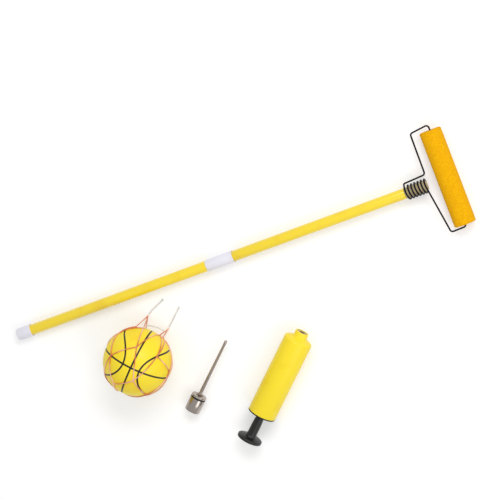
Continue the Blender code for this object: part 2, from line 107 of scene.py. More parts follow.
foot, out_of_foot = face_of("pole_foot")
POLE = item_frame(foot, -out_of_foot)
disc_face, out_of_disc = face_of("pump_handle_face")
PUMP_LENGTH = 0.1845
PUMP = item_frame(disc_face - out_of_disc * PUMP_LENGTH, -out_of_disc)
base_face, out_of_base = face_of("needle_base_face")
FACE_ABOVE_AXIS = 0.0060  # the needle's named point lies on its end ring, above its axis
NEEDLE = item_frame(base_face - Vector((0, 0, FACE_ABOVE_AXIS)), -out_of_base)
BALL_RADIUS = 0.0508
shell_low, shell_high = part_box("ball_shell")
BALL = Vector(((shell_low[0] + shell_high[0]) / 2, (shell_low[1] + shell_high[1]) / 2, BALL_RADIUS))
print("ball centre", [round(value, 4) for value in BALL])

# %% [markdown]
# ## Modelling helpers
# A turned piece could be a Screw modifier on a profile. Extruding a ring and scaling it does the
# same by hand, and shows each step of the shape: we add a circle, then extrude its edge loop up or
# down and scale it to the next radius, until the loops meet again. The ends are then bridged or
# filled, and a small bevel softens every edge.

# %% Turned pieces


def alone(obj):
    bpy.ops.object.select_all(action="DESELECT")
    obj.select_set(True)
    bpy.context.view_layer.objects.active = obj


def turned(name, profile, sides=96, bevel=0.0, closed=True):
    """Extrudes a ring through (radius, height) pairs. A radius of 0 ends in a filled tip."""
    radius, height = profile[0]
    bpy.ops.object.select_all(action="DESELECT")
    bpy.ops.mesh.primitive_circle_add(
        vertices=sides, radius=max(radius, 0.00001), location=(0, 0, height)
    )
    made = bpy.context.active_object
    made.name = name
    bpy.ops.object.transform_apply(location=True, rotation=False, scale=False)
    bpy.ops.object.mode_set(mode="EDIT")
    bpy.ops.mesh.select_mode(type="EDGE")
    bpy.ops.mesh.select_all(action="SELECT")
    for (old_radius, old_height), (new_radius, new_height) in zip(profile, profile[1:]):
        bpy.ops.mesh.extrude_edges_move(
            TRANSFORM_OT_translate={"value": (0, 0, new_height - old_height)}
        )
        grow = max(new_radius, 0.00001) / max(old_radius, 0.00001)
        bpy.ops.transform.resize(value=(grow, grow, 1), center_override=(0, 0, new_height))
    bpy.ops.object.mode_set(mode="OBJECT")
    bm = bmesh.new()
    bm.from_mesh(made.data)
    if closed and profile[0][0] > 0 and profile[-1][0] > 0:
        rims = [edge for edge in bm.edges if edge.is_boundary]
        bmesh.ops.bridge_loops(bm, edges=rims)
    bmesh.ops.remove_doubles(bm, verts=bm.verts, dist=0.00003)
    bmesh.ops.recalc_face_normals(bm, faces=bm.faces)
    bm.to_mesh(made.data)
    bm.free()
    if bevel:
        soften(made, bevel)
    return made


def soften(obj, width, segments=2, angle=35.0):
    """A small bevel on every edge that is sharper than the angle, then smooth shading."""
    alone(obj)
    modifier = obj.modifiers.new("soft edges", "BEVEL")
    modifier.width = width
    modifier.segments = segments
    modifier.limit_method = "ANGLE"
    modifier.angle_limit = math.radians(angle)
    bpy.ops.object.modifier_apply(modifier=modifier.name)


def smooth(obj, angle=40.0):
    alone(obj)
    bpy.ops.object.shade_smooth_by_angle(angle=math.radians(angle))


def place(obj, matrix):
    """Moves the mesh, and leaves the object at the origin."""
    obj.data.transform(matrix)
    obj.data.update()


def finish_piece(obj, matrix, material, body, *nodes, angle=40.0):
    """Places a piece, gives it its finish, and says which body and measured pieces it is for."""
    if matrix is not None:
        place(obj, matrix)
    smooth(obj, angle)
    obj.data.materials.clear()
    obj.data.materials.append(material)
    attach(obj, body)
    if nodes:
        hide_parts(*nodes)
    print("made", obj.name, "with", len(obj.data.polygons), "faces")
    return obj


# %% [markdown]
# ## Shared effects
# Two effects are used by most finishes, so each is a node group that is built once. The grain
# group gives a fine moulded or painted unevenness, and the scuff group gives soft, sparse marks
# that make a surface a little duller where hands and ground rub it. Both put out plain values, so
# the shader stays in each material.

# %% Grain and scuff groups


def new_group(name, inputs, outputs):
    group = bpy.data.node_groups.new(name, "ShaderNodeTree")
    for label, default in inputs.items():
        socket = group.interface.new_socket(label, in_out="INPUT", socket_type="NodeSocketFloat")
        socket.default_value = default
    for label in outputs:
        group.interface.new_socket(label, in_out="OUTPUT", socket_type="NodeSocketFloat")
    nodes = group.nodes
    return group, nodes.new("NodeGroupInput"), nodes.new("NodeGroupOutput"), group.links.new


def noise_node(group, scale_socket, detail, link):
    coordinates = group.nodes.new("ShaderNodeTexCoord")
    texture = group.nodes.new("ShaderNodeTexNoise")
    texture.inputs["Detail"].default_value = detail
    link(coordinates.outputs["Object"], texture.inputs["Vector"])
    link(scale_socket, texture.inputs["Scale"])
    return texture


def spread(group, value, low, high, link):
    """A Map Range that stretches low..high over 0..1."""
    ramp = group.nodes.new("ShaderNodeMapRange")
    ramp.inputs["From Min"].default_value = low
    ramp.inputs["From Max"].default_value = high
    link(value, ramp.inputs["Value"])
    return ramp.outputs["Result"]


grain, grain_in, grain_out, link = new_group("grain", {"Scale": 900.0}, ["Height"])
fine = noise_node(grain, grain_in.outputs["Scale"], 3.0, link)
link(fine.outputs["Fac"], grain_out.inputs["Height"])

scuff, scuff_in, scuff_out, link = new_group("scuff", {"Scale": 40.0}, ["Mask"])
patchy = noise_node(scuff, scuff_in.outputs["Scale"], 6.0, link)
link(spread(scuff, patchy.outputs["Fac"], 0.52, 0.72, link), scuff_out.inputs["Mask"])
print("groups:", [group.name for group in bpy.data.node_groups])

# %% [markdown]
# ## One recipe for a plain finish
# Painted tube, rubber, moulded plastic and plated metal all share a recipe: a colour that drifts
# a little across the piece, a roughness that the scuffs raise, and a grain that goes to the bump.
# What differs between them is only the numbers, so the recipe is a function and each finish is one
# call. Values that are the same all over sit on the shader's own sockets.

# %% Finish recipe


def linear(red, green, blue):
    """A colour as seen on screen, 0 to 255, as the linear values that the shader wants."""
    made = []
    for value in (red, green, blue):
        value /= 255.0
        made.append(value / 12.92 if value <= 0.04045 else ((value + 0.055) / 1.055) ** 2.4)
    return (*made, 1.0)


def new_finish(name):
    made = bpy.data.materials.new(name)
    made.use_nodes = True
    nodes = made.node_tree.nodes
    return made, nodes, made.node_tree.links.new, nodes["Principled BSDF"]


def group_node(nodes, name, **values):
    made = nodes.new("ShaderNodeGroup")
    made.node_tree = bpy.data.node_groups[name]
    for label, value in values.items():
        made.inputs[label].default_value = value
    return made


def blend_colours(nodes, link, factor, first, second):
    mix = nodes.new("ShaderNodeMix")
    mix.data_type = "RGBA"
    mix.inputs["A"].default_value = first
    mix.inputs["B"].default_value = second
    link(factor, mix.inputs["Factor"])
    return mix.outputs["Result"]


def blend_values(nodes, link, factor, first, second):
    ramp = nodes.new("ShaderNodeMapRange")
    ramp.inputs["To Min"].default_value = first
    ramp.inputs["To Max"].default_value = second
    link(factor, ramp.inputs["Value"])
    return ramp.outputs["Result"]


def bump(nodes, link, height, shader, distance, strength=1.0):
    made = nodes.new("ShaderNodeBump")
    made.inputs["Distance"].default_value = distance
    made.inputs["Strength"].default_value = strength
    link(height, made.inputs["Height"])
    link(made.outputs["Normal"], shader.inputs["Normal"])
    return made


def finish_of(name, colour, drift, roughness, rough_to, grain_scale, grain_depth, **sockets):
    """colour drifts to drift under the scuffs, and roughness to rough_to."""
    made, nodes, link, shader = new_finish(name)
    marks = group_node(nodes, "scuff")
    texture = group_node(nodes, "grain", Scale=grain_scale)
    mask = marks.outputs["Mask"]
    link(blend_colours(nodes, link, mask, colour, drift), shader.inputs["Base Color"])
    link(blend_values(nodes, link, mask, roughness, rough_to), shader.inputs["Roughness"])
    bump(nodes, link, texture.outputs["Height"], shader, grain_depth)
    for label, value in sockets.items():
        shader.inputs[label.replace("_", " ")].default_value = value
    return made


YELLOW_PAINT = finish_of(
    "yellow_paint", linear(252, 222, 44), linear(247, 212, 38), 0.22, 0.32, 500, 0.00002,
    Coat_Weight=0.4, Coat_Roughness=0.08,
)
YELLOW_PLASTIC = finish_of(
    "yellow_plastic", linear(255, 228, 34), linear(250, 220, 28), 0.42, 0.50, 1600, 0.00006
)
WHITE_PLASTIC = finish_of(
    "white_plastic", linear(238, 236, 246), linear(230, 228, 238), 0.32, 0.45, 1400, 0.00004
)
IVORY_PLASTIC = finish_of(
    "ivory_plastic", linear(205, 188, 145), linear(190, 170, 126), 0.45, 0.55, 1400, 0.00004
)
BLACK_PLASTIC = finish_of(
    "black_plastic", linear(14, 14, 15), linear(22, 22, 23), 0.38, 0.52, 1500, 0.00006
)
BLACK_RUBBER = finish_of(
    "black_rubber", linear(26, 26, 26), linear(40, 40, 40), 0.70, 0.85, 1300, 0.00008
)
SPRING_STEEL = finish_of(
    "spring_steel", linear(34, 34, 42), linear(60, 52, 46), 0.34, 0.50, 2500, 0.00002, Metallic=1.0
)
NICKEL = finish_of(
    "nickel", linear(176, 166, 160), linear(150, 136, 126), 0.18, 0.34, 1800, 0.00001, Metallic=1.0
)
BRASS = finish_of(
    "brass", linear(178, 158, 110), linear(150, 130, 90), 0.26, 0.42, 1800, 0.00002, Metallic=1.0
)
WHITE_CORD = finish_of(
    "white_cord", linear(226, 226, 228), linear(206, 206, 208), 0.80, 0.90, 2600, 0.00015,
    Sheen_Weight=0.3,
)
print("finishes:", len(bpy.data.materials))

# %% [markdown]
# ## The pole
# The pole is two thin painted tubes, pushed into a white sleeve, with a white cup over the lower
# end. The tube ends are hidden, so what we see is a clean round highlight along each tube. A
# smooth mesh with many sides gives that, and a rolled lip on the cup catches the light.

# %% Tubes, sleeve, cap and plug
TUBE_RADIUS = 0.0080
TUBE_BORE = 0.0072
SLEEVE_RADIUS = 0.0089
SLEEVE_FROM = 0.3186
SLEEVE_TO = 0.3621
SLEEVE_RIB = 0.0026
GAP = 0.0003
TUBE_TIP = 0.6384
CAP_RADIUS = 0.0094
CAP_LENGTH = 0.0236
CAP_FLOOR = 0.0020
rib_from = (SLEEVE_FROM + SLEEVE_TO - SLEEVE_RIB) / 2
rib_to = rib_from + SLEEVE_RIB


def tube_profile(low, high):
    return [(TUBE_BORE, high), (TUBE_RADIUS, high), (TUBE_RADIUS, low), (TUBE_BORE, low)]


lower_tube = turned("pole_tube_lower", tube_profile(CAP_FLOOR + GAP, rib_from - GAP), bevel=0.0002)
finish_piece(lower_tube, POLE, YELLOW_PAINT, "pole_lower", "lower_tube")
upper_tube = turned("pole_tube_upper", tube_profile(rib_to + GAP, TUBE_TIP), bevel=0.0002)
finish_piece(upper_tube, POLE, YELLOW_PAINT, "pole_upper", "upper_tube")

socket = TUBE_RADIUS + GAP
sleeve = turned(
    "pole_sleeve",
    [
        (socket, SLEEVE_TO), (SLEEVE_RADIUS, SLEEVE_TO), (SLEEVE_RADIUS, SLEEVE_FROM),
        (socket, SLEEVE_FROM),
        (socket, rib_from), (TUBE_BORE, rib_from), (TUBE_BORE, rib_to), (socket, rib_to),
    ],
    bevel=0.00025,
)
finish_piece(sleeve, POLE, WHITE_PLASTIC, "pole_upper", "coupling_sleeve")

cap = turned(
    "pole_end_cap",
    [
        (0.0, CAP_FLOOR), (socket, CAP_FLOOR), (socket, CAP_LENGTH), (CAP_RADIUS, CAP_LENGTH),
        (CAP_RADIUS, CAP_LENGTH - 0.0022), (CAP_RADIUS - 0.0003, CAP_LENGTH - 0.0026),
        (CAP_RADIUS - 0.0003, 0.0014), (CAP_RADIUS - 0.0008, 0.0004), (CAP_RADIUS - 0.0016, 0.0),
        (0.0, 0.0),
    ],
    bevel=0.0002,
)
finish_piece(cap, POLE, WHITE_PLASTIC, "pole_lower", "end_cap")

COIL_AT = 0.6424
COIL_RADIUS = 0.0099
COIL_PITCH = 0.0051
COIL_TURNS = 6
FIRST_NEAR = -0.0010
NOSE_RADIUS = 0.0079
nose_to = COIL_AT + FIRST_NEAR + COIL_TURNS * COIL_PITCH
plug = turned(
    "pole_tip_plug",
    [
        (0.0, nose_to), (NOSE_RADIUS - 0.0012, nose_to), (NOSE_RADIUS, nose_to - 0.0012),
        (NOSE_RADIUS, TUBE_TIP + GAP), (TUBE_BORE - GAP, TUBE_TIP + GAP),
        (TUBE_BORE - GAP, TUBE_TIP - 0.0300), (TUBE_BORE - 0.0012, TUBE_TIP - 0.0309),
        (0.0, TUBE_TIP - 0.0309),
    ],
    bevel=0.0002,
)
finish_piece(plug, POLE, IVORY_PLASTIC, "tip", "tip_plug")

# %% [markdown]
# ## The wire frame
# One length of dark spring steel makes the whole head: it comes out of the roller, runs back to
# the pole, winds six times round the plug, and goes on to the roller's other end. A curve with a
# round bevel is the natural tool. The coil's turns come from a loop, and each hand bend is an arc
# between two straight runs.

# %% Wire frame
WIRE_RADIUS = 0.0013
ROLLER_A = 0.0621
ROLLER_LENGTH = 0.1438
ROLLER_MIDDLE_B = 0.0010
STUB_DEPTH = 0.0120
BEND = 0.0040
LONG_B = 0.0811
SHORT_B = -0.0742
LONG_CORNER = (0.0331, 0.0777)
LONG_KNEE = (0.0323, 0.0157)
COIL_LEAD = 1.38  # how far out the long arm turns into the coil, in coil radii
COIL_STEPS = 28


def wire_at(a, b, x=0.0):
    """A point of the wire: a is along the pole, b across it, and x is down."""
    return Vector((x, b, COIL_AT + a))


def bent(corners, radius, steps=8):
    """The corners as one path, with every inner corner bent to an arc."""
    path = [corners[0]]
    for before, corner, after in zip(corners, corners[1:], corners[2:]):
        to_before = (before - corner).normalized()
        to_after = (after - corner).normalized()
        half = to_before.angle(to_after) / 2
        middle = corner + (to_before + to_after).normalized() * radius / math.sin(half)
        back = radius / math.tan(half)
        first = (corner + to_before * back - middle).normalized()
        last = (corner + to_after * back - middle).normalized()
        path += [middle + first.slerp(last, i / steps) * radius for i in range(steps + 1)]
    return [*path, corners[-1]]


def coil_points(start, steps_to_a_turn):
    first = FIRST_NEAR - COIL_PITCH / 4
    last = math.tau * COIL_TURNS + math.pi / 2
    steps = COIL_TURNS * steps_to_a_turn
    made = []
    for i in range(steps + 1):
        turn = start + (last - start) * i / steps
        across = (COIL_RADIUS * math.cos(turn), -COIL_RADIUS * math.sin(turn))
        made.append(wire_at(first + COIL_PITCH * turn / math.tau, *across))
    return made


def wire_path():
    half = ROLLER_LENGTH / 2 - STUB_DEPTH
    near = COIL_RADIUS * COIL_LEAD
    coil = coil_points(math.acos(COIL_RADIUS / near), COIL_STEPS)
    elbow = wire_at(FIRST_NEAR - COIL_PITCH / 4 + 0.0004, near)
    long_arm = bent(
        [
            wire_at(ROLLER_A, ROLLER_MIDDLE_B + half), wire_at(ROLLER_A, LONG_B),
            wire_at(*LONG_CORNER), wire_at(*LONG_KNEE), elbow,
        ],
        BEND,
    )[:-1]
    into_coil = bent([long_arm[-1], elbow, coil[0]], BEND / 2)[1:-1]
    short_arm = bent(
        [
            coil[-1], wire_at(0.0384, SHORT_B - 0.0008), wire_at(ROLLER_A, SHORT_B),
            wire_at(ROLLER_A, ROLLER_MIDDLE_B - half),
        ],
        BEND,
    )[1:]
    return [*long_arm, *into_coil, *coil, *short_arm]


def rod_along(name, points, radius, resolution=3):
    """A round rod or cord along the points, as a curve with a round bevel and closed ends."""
    curve = bpy.data.curves.new(name, "CURVE")
    curve.dimensions = "3D"
    curve.bevel_depth = radius
    curve.bevel_resolution = resolution
    curve.use_fill_caps = True
    spline = curve.splines.new("POLY")
    spline.points.add(len(points) - 1)
    for spline_point, point in zip(spline.points, points):
        spline_point.co = (*point, 1.0)
    made = bpy.data.objects.new(name, curve)
    bpy.context.scene.collection.objects.link(made)
    return made


def as_mesh(obj):
    alone(obj)
    bpy.ops.object.convert(target="MESH")
    obj = bpy.context.active_object
    bpy.ops.object.mode_set(mode="EDIT")
    bpy.ops.mesh.select_all(action="SELECT")
    bpy.ops.mesh.remove_doubles(threshold=0.000001)
    bpy.ops.mesh.normals_make_consistent(inside=False)
    bpy.ops.object.mode_set(mode="OBJECT")
    return obj


wire = as_mesh(rod_along("head_wire", wire_path(), WIRE_RADIUS))
finish_piece(wire, POLE, SPRING_STEEL, "frame", "wire_frame")

# %% [markdown]
# ## The foam roller
# The roller is open-cell foam over a plastic core. From a distance it is a soft amber cylinder
# with rounded ends; close by, its skin is pitted. We turn a dense sleeve, push its points in and
# out with two sizes of noise, and leave the smallest pores to the material.

# %% Roller
ROLLER_RADIUS = 0.0164
CORE_RADIUS = 0.0060
CORE_WALL = 0.0016
BUSH_SHANK = 0.0140
BUSH_FLANGE = 0.0013
END_ROUND = 0.0024
PORE_DEPTH = 0.00028
ROLLER = POLE @ Matrix.Translation((0, ROLLER_MIDDLE_B, COIL_AT + ROLLER_A)) @ Matrix.Rotation(
    -math.pi / 2, 4, "X"
)


def foam_profile():
    top = ROLLER_LENGTH / 2
    bore = CORE_RADIUS + GAP
    made = [(bore, top)]
    for i in range(7):
        turn = math.radians(90 - 15 * i)
        middle = ROLLER_RADIUS - PORE_DEPTH - END_ROUND
        made.append((middle + END_ROUND * math.cos(turn), top - END_ROUND * (1 - math.sin(turn))))
    rows = 150
    made += [
        (ROLLER_RADIUS - PORE_DEPTH, (top - END_ROUND) * (1 - 2 * i / rows)) for i in range(1, rows)
    ]
    return made + [(radius, -height) for radius, height in reversed(made[:8])]


def pit(obj, depth):
    """Pushes each point along its normal by layered noise, so that the skin looks open."""
    ways = [vertex.normal.copy() for vertex in obj.data.vertices]
    for vertex, way in zip(obj.data.vertices, ways):
        if math.hypot(vertex.co.x, vertex.co.y) < CORE_RADIUS + 0.002:
            continue
        swell = 0.45 * noise.noise(vertex.co * 260) + 0.55 * noise.noise(vertex.co * 900)
        vertex.co += way * depth * swell


def new_foam_finish():
    made, nodes, link, shader = new_finish("amber_foam")
    coordinates = nodes.new("ShaderNodeTexCoord")
    cells = nodes.new("ShaderNodeTexVoronoi")
    cells.inputs["Scale"].default_value = 1500
    link(coordinates.outputs["Object"], cells.inputs["Vector"])
    clouds = nodes.new("ShaderNodeTexNoise")
    clouds.inputs["Scale"].default_value = 420
    clouds.inputs["Detail"].default_value = 5
    link(coordinates.outputs["Object"], clouds.inputs["Vector"])
    shade = blend_values(nodes, link, clouds.outputs["Fac"], -0.35, 1.35)
    colour = blend_colours(nodes, link, shade, linear(232, 158, 0), linear(255, 196, 0))
    link(colour, shader.inputs["Base Color"])
    rough = blend_values(nodes, link, cells.outputs["Distance"], 0.95, 0.80)
    link(rough, shader.inputs["Roughness"])
    bump(nodes, link, cells.outputs["Distance"], shader, 0.0004, 0.8)
    shader.inputs["Specular IOR Level"].default_value = 0.15
    return made


AMBER_FOAM = new_foam_finish()
foam = turned("roller_foam_skin", foam_profile(), sides=132)
pit(foam, PORE_DEPTH)
finish_piece(foam, ROLLER, AMBER_FOAM, "roller", "roller_foam", angle=80)

core_end = ROLLER_LENGTH / 2 - BUSH_FLANGE - GAP
core_bore = CORE_RADIUS - CORE_WALL
core = turned(
    "roller_tube",
    [
        (core_bore, core_end), (CORE_RADIUS, core_end),
        (CORE_RADIUS, -core_end), (core_bore, -core_end),
    ],
    sides=48,
    bevel=0.0002,
)
finish_piece(core, ROLLER, WHITE_PLASTIC, "roller", "roller_core")

for node, way in (("roller_bush_far", 0.0), ("roller_bush_near", math.pi)):
    top = ROLLER_LENGTH / 2
    shank = core_bore - GAP
    bore = WIRE_RADIUS + GAP
    bush = turned(
        node + "_trim",
        [
            (bore, top), (CORE_RADIUS, top), (CORE_RADIUS, top - BUSH_FLANGE),
            (shank, top - BUSH_FLANGE), (shank, top - BUSH_SHANK), (bore, top - BUSH_SHANK),
        ],
        sides=48,
        bevel=0.0002,
    )
    finish_piece(bush, ROLLER @ Matrix.Rotation(way, 4, "X"), BLACK_PLASTIC, "roller", node)

# %% [markdown]
# ## The ball
# The ball is a small rubber play ball with the usual basketball lines: two great circles at right
# angles, and two closed curves that bow away from one of them. On a rubber ball the lines are
# shallow channels painted black. We store each point's distance to the nearest line as an
# attribute, sink the points that are close to a line, and let the finish read the same attribute,
# so that the paint and the channel always agree.

# %% Ball
SEAM_FRONT = Vector((0.100, 0.020, 0.995)).normalized()
SEAM_SIDE = Vector((0.906, -0.418, -0.064))
SEAM_SIDE = (SEAM_SIDE - SEAM_FRONT * SEAM_SIDE.dot(SEAM_FRONT)).normalized()
SEAM_UP = SEAM_FRONT.cross(SEAM_SIDE)
BOW_MIDDLE = 0.515
BOW_SWING = 0.220
BOW_PINCH = 0.035
CHANNEL_HALF = 0.0017
CHANNEL_DEPTH = 0.00045
VALVE_DIRECTION = Vector((-0.75, -0.45, -0.48)).normalized()
VALVE_RADIUS = 0.0036


def line_distance(direction):
    """Distance in metres, over the ball, from a direction to the nearest of the four lines."""
    aside = max(-1.0, min(1.0, direction.dot(SEAM_SIDE)))
    latitude = math.asin(aside)
    nearest = min(abs(latitude), abs(math.asin(max(-1.0, min(1.0, direction.dot(SEAM_UP))))))
    turn = math.atan2(direction.dot(SEAM_UP), direction.dot(SEAM_FRONT))
    bow = BOW_MIDDLE - BOW_SWING * math.cos(2 * turn) - BOW_PINCH * math.cos(4 * turn)
    slope = 2 * BOW_SWING * math.sin(2 * turn) + 4 * BOW_PINCH * math.sin(4 * turn)
    slope /= math.sqrt(1 - bow * bow)
    lean = math.hypot(1.0, slope / max(0.05, math.cos(latitude)))
    for sign in (1, -1):
        nearest = min(nearest, abs(latitude - sign * math.asin(bow)) / lean)
    return nearest * BALL_RADIUS


def new_ball_finish():
    made, nodes, link, shader = new_finish("yellow_rubber")
    stored = nodes.new("ShaderNodeAttribute")
    stored.attribute_name = "line_distance"
    paint = nodes.new("ShaderNodeMapRange")
    paint.interpolation_type = "SMOOTHSTEP"
    paint.inputs["From Min"].default_value = 0.00120
    paint.inputs["From Max"].default_value = 0.00145
    paint.inputs["To Min"].default_value = 1.0
    paint.inputs["To Max"].default_value = 0.0
    link(stored.outputs["Fac"], paint.inputs["Value"])
    marks = group_node(nodes, "scuff", Scale=30.0)
    rubber = blend_colours(
        nodes, link, marks.outputs["Mask"], linear(255, 228, 36), linear(253, 218, 30)
    )
    mix = nodes.new("ShaderNodeMix")
    mix.data_type = "RGBA"
    link(paint.outputs["Result"], mix.inputs["Factor"])
    link(rubber, mix.inputs["A"])
    mix.inputs["B"].default_value = linear(20, 16, 8)
    link(mix.outputs["Result"], shader.inputs["Base Color"])
    rough = blend_values(nodes, link, marks.outputs["Mask"], 0.44, 0.58)
    link(rough, shader.inputs["Roughness"])
    pebbles = nodes.new("ShaderNodeTexVoronoi")
    pebbles.inputs["Scale"].default_value = 1100
    coordinates = nodes.new("ShaderNodeTexCoord")
    link(coordinates.outputs["Object"], pebbles.inputs["Vector"])
    bump(nodes, link, pebbles.outputs["Distance"], shader, 0.00010, 0.5)
    return made


BALL_RUBBER = new_ball_finish()
bpy.ops.object.select_all(action="DESELECT")
bpy.ops.mesh.primitive_ico_sphere_add(subdivisions=7, radius=BALL_RADIUS, location=(0, 0, 0))
ball = bpy.context.active_object
ball.name = "ball_skin"
stored = ball.data.attributes.new("line_distance", "FLOAT", "POINT")
for index, vertex in enumerate(ball.data.vertices):
    direction = vertex.co.normalized()
    distance = line_distance(direction)
    stored.data[index].value = min(distance, 0.006)
    sink = CHANNEL_DEPTH * max(0.0, 1 - (distance / CHANNEL_HALF) ** 2)
    to_valve = direction.angle(VALVE_DIRECTION) * BALL_RADIUS
    sink += 0.0009 * max(0.0, min(1.0, (VALVE_RADIUS + 0.0006 - to_valve) / 0.0006))
    vertex.co = direction * (BALL_RADIUS - sink)
finish_piece(ball, Matrix.Translation(BALL), BALL_RUBBER, "ball", "ball_shell", angle=60)

valve_turn = VALVE_DIRECTION.to_track_quat("Z", "Y").to_matrix().to_4x4()
valve = turned(
    "ball_valve_trim",
    [
        (0.0, BALL_RADIUS - 0.0010), (0.0006, BALL_RADIUS - 0.0009), (0.0009, BALL_RADIUS - 0.0003),
        (VALVE_RADIUS - 0.0006, BALL_RADIUS - 0.0002), (VALVE_RADIUS - 0.0002, BALL_RADIUS - 0.0006),
        (VALVE_RADIUS - 0.0002, BALL_RADIUS - 0.0060), (0.0, BALL_RADIUS - 0.0060),
    ],
    sides=32,
)
finish_piece(valve, Matrix.Translation(BALL) @ valve_turn, BLACK_RUBBER, "ball", "ball_valve")

# %% [markdown]
# ## The net and its drawstring
# The net is thin coral cord, knotted where the cords meet, and drawn up into two loops beside the
# ball. Each stretch is two strands twisted round each other, and each knot is one small knotted
# loop, modelled once and copied. The white drawstring joins the two loops, and its two ends lie
# free on the ground.

# %% Net


def new_net_finish():
    """Coral cord whose colour drifts at random between a shaded orange and a lit pale pink: painted
    light and shade.
    """
    made, nodes, link, shader = new_finish("net_cord")
    coordinates = nodes.new("ShaderNodeTexCoord")
    painted_light_noise = nodes.new("ShaderNodeTexNoise")
    painted_light_noise.inputs["Scale"].default_value = 34
    link(coordinates.outputs["Object"], painted_light_noise.inputs["Vector"])
    painted_light_ramp = nodes.new("ShaderNodeMapRange")
    painted_light_ramp.inputs["From Min"].default_value = 0.42
    painted_light_ramp.inputs["From Max"].default_value = 0.60
    link(painted_light_noise.outputs["Fac"], painted_light_ramp.inputs["Value"])
    # Painted light and shade: the noise mixes the cord's shaded orange with its lit pale pink.
    colour = blend_colours(
        nodes, link, painted_light_ramp.outputs["Result"], linear(226, 128, 78), linear(255, 208, 192)
    )
    link(colour, shader.inputs["Base Color"])
    link(blend_values(nodes, link, painted_light_noise.outputs["Fac"], 0.75, 0.90), shader.inputs["Roughness"])
    fibres = group_node(nodes, "grain", Scale=2600)
    bump(nodes, link, fibres.outputs["Height"], shader, 0.00015)
    shader.inputs["Sheen Weight"].default_value = 0.3
    return made


NET_CORD = new_net_finish()
NET_RADIUS = BALL_RADIUS + 0.0010
NET_AXIS = (0.400, 0.881, -0.252)
NET_FRONT = (0.250, 0.160, 0.955)
STRAND_RADIUS = 0.00046
STRAND_OFFSET = 0.00040
TWIST_LENGTH = 0.0036
APEX_LEFT = (0.0016, 0.0598, 0.0016)
APEX_RIGHT = (0.0334, 0.0421, 0.0016)


def under_ball(offset):
    return Vector((BALL.x, BALL.y, 0.0)) + Vector(offset)


def net_rows():
    """Knots of the net by rows, each as (degrees from the mouth, degrees round it)."""
    rim = [(19, -54), (14, 82), (22, 118), (26, 155), (28, 205), (29, 268)]
    upper = [(66, -12), (65, 29), (56, 84), (66, 138), (66, 206), (62, 285)]
    middle = [(119, 10), (80, 72), (104, 112), (107, 172), (104, 246), (98, 312)]
    lower = [(134, 66), (146, 108), (146, 146), (144, 208), (146, 270), (146, 327)]
    return rim, upper, middle, lower


def on_net(knot):
    axis = Vector(NET_AXIS).normalized()
    front = Vector(NET_FRONT)
    front = (front - axis * front.dot(axis)).normalized()
    side = axis.cross(front)
    down, round_it = math.radians(knot[0]), math.radians(knot[1])
    across = front * math.cos(round_it) + side * math.sin(round_it)
    return axis * math.cos(down) + across * math.sin(down)


def net_runs():
    """Each stretch of cord as its two ends and its middle line."""
    rim, upper, middle, lower = [[on_net(knot) for knot in row] for row in net_rows()]
    gather = on_net((164, 190))
    pairs = []
    for i in range(len(rim)):
        after = (i + 1) % len(rim)
        pairs += [(rim[i], upper[i]), (rim[after], upper[i])]
        pairs += [(upper[i], middle[i]), (upper[after], middle[i])]
        pairs += [(middle[i], lower[i]), (middle[after], lower[i]), (lower[i], gather)]
    runs = [[BALL + a.slerp(b, i / 12) * NET_RADIUS for i in range(13)] for a, b in pairs]
    for knots, apex in (((0, 5, 4), APEX_LEFT), ((1, 2, 3), APEX_RIGHT)):
        for i in knots:
            start, end = BALL + rim[i] * NET_RADIUS, under_ball(apex)
            runs.append([start.lerp(end, k / 6) for k in range(7)])
    return runs


def twisted(run):
    """The two strands of one stretch, wound round its middle line."""
    lengths = [0.0]
    for a, b in zip(run, run[1:]):
        lengths.append(lengths[-1] + (b - a).length)
    steps = max(8, round(lengths[-1] / TWIST_LENGTH * 9))
    strands = ([], [])
    for i in range(steps + 1):
        at = lengths[-1] * i / steps
        k = min(len(run) - 2, max(j for j, done in enumerate(lengths) if done <= at + 1e-9))
        point = run[k].lerp(run[k + 1], (at - lengths[k]) / (lengths[k + 1] - lengths[k]))
        along = (run[k + 1] - run[k]).normalized()
        side = along.cross(point - BALL).normalized()
        out = side.cross(along)
        turn = math.tau * at / TWIST_LENGTH
        for strand, start in zip(strands, (0.0, math.pi)):
            offset = side * math.cos(turn + start) + out * math.sin(turn + start)
            strand.append(point + offset * STRAND_OFFSET)
    return strands


def many_rods(name, lines, radius, resolution=1, cyclic=False):
    """Many round rods in one mesh."""
    curve = bpy.data.curves.new(name, "CURVE")
    curve.dimensions = "3D"
    curve.bevel_depth = radius
    curve.bevel_resolution = resolution
    curve.use_fill_caps = True
    for line in lines:
        spline = curve.splines.new("POLY")
        spline.points.add(len(line) - 1)
        spline.use_cyclic_u = cyclic
        for spline_point, point in zip(spline.points, line):
            spline_point.co = (*point, 1.0)
    made = bpy.data.objects.new(name, curve)
    bpy.context.scene.collection.objects.link(made)
    return as_mesh(made)


def knot_loop(size, points=30):
    """A small knotted loop, as a closed line about the origin."""
    line = []
    for i in range(points):
        turn = math.tau * i / points
        across = (2 + math.cos(3 * turn)) / 3
        spot = (math.cos(2 * turn) * across, math.sin(2 * turn) * across, math.sin(3 * turn) * 0.6)
        line.append(Vector(spot) * size)
    return line


runs = net_runs()
places = {}
for run in runs:
    for point in (run[0], run[-1]):
        places[tuple(round(value, 5) for value in point)] = point
net = many_rods("net_mesh", [strand for run in runs for strand in twisted(run)], STRAND_RADIUS)
knot_lines = []
for point in places.values():
    tilt = (point - BALL).normalized().to_track_quat("Z", "Y").to_matrix()
    knot_lines.append([point + tilt @ spot for spot in knot_loop(0.00088)])
knots = many_rods("net_knots", knot_lines, 0.00050, cyclic=True)
finish_piece(net, None, NET_CORD, "ball", "ball_net", angle=80)
finish_piece(knots, None, NET_CORD, "ball", angle=80)
print(len(runs), "stretches and", len(places), "knots")

